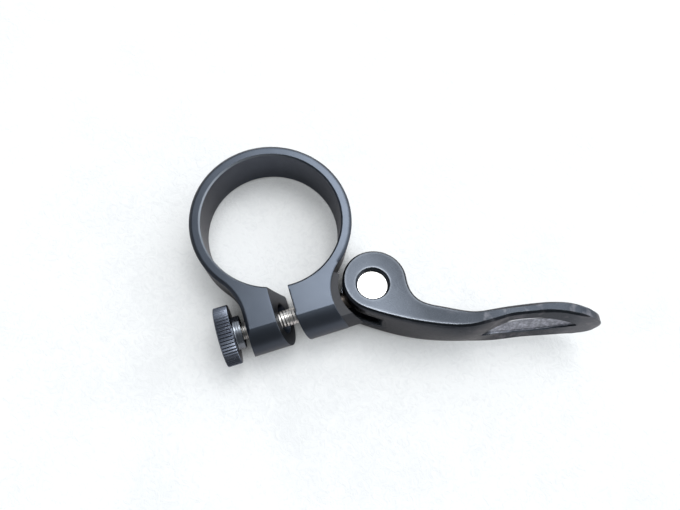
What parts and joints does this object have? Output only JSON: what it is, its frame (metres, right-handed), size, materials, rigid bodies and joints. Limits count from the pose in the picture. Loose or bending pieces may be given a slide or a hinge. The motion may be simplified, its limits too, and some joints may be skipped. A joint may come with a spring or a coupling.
{
  "type": "seatpost clamp",
  "caption": "Quick-release seatpost clamp: a split ring with lugs, drawn shut round a bicycle's seat tube by a forked cam lever, a cross bolt and a knurled thumb nut.",
  "frame": {"origin": "centre of the seat tube bore, at half the ring's height", "axes": "+Z along the bore, +X along the bolt from thumb nut to lever, the lugs towards -Y; the lever is open"},
  "size_m": [0.0913, 0.07, 0.0176],
  "materials": {
    "band_black": "satin black anodised",
    "washer_grey": "dark grey anodised",
    "bolt_steel": "bright plated",
    "barrel_steel": "bright turned",
    "lever_black": "satin black anodised",
    "nut_black": "black anodised, knurled"
  },
  "bodies": {
    "band": {"clamp_band": "band_black", "cam_washer": "washer_grey"},
    "skewer": {"skewer_bolt": "bolt_steel"},
    "barrel": {"pivot_barrel": "barrel_steel"},
    "lever": {"lever": "lever_black"},
    "nut": {"thumb_nut": "nut_black"}
  },
  "joints": [
    {"name": "skewer_draw", "type": "slide", "parent": "band", "child": "skewer", "axis": [1, 0, 0], "range_m": [0, 0.001]},
    {"name": "cam_roll", "type": "hinge", "parent": "skewer", "child": "barrel", "pos_m": [0, -0.024, 0], "axis": [1, 0, 0], "range_deg": [0, 9]},
    {"name": "lever_swing", "type": "hinge", "parent": "barrel", "child": "lever", "pos_m": [0.0191, -0.024, 0], "axis": [0, 0.1564, 0.9877], "range_deg": [0, 118]},
    {"name": "nut_turn", "type": "hinge", "parent": "skewer", "child": "nut", "pos_m": [-0.017, -0.024, 0], "axis": [1, 0, 0], "continuous": true}
  ],
  "couplings": [
    {"joint": "skewer_draw", "follows": "lever_swing", "m_per_rad": 0.000485},
    {"joint": "cam_roll", "follows": "lever_swing", "ratio": 0.0762}
  ]
}
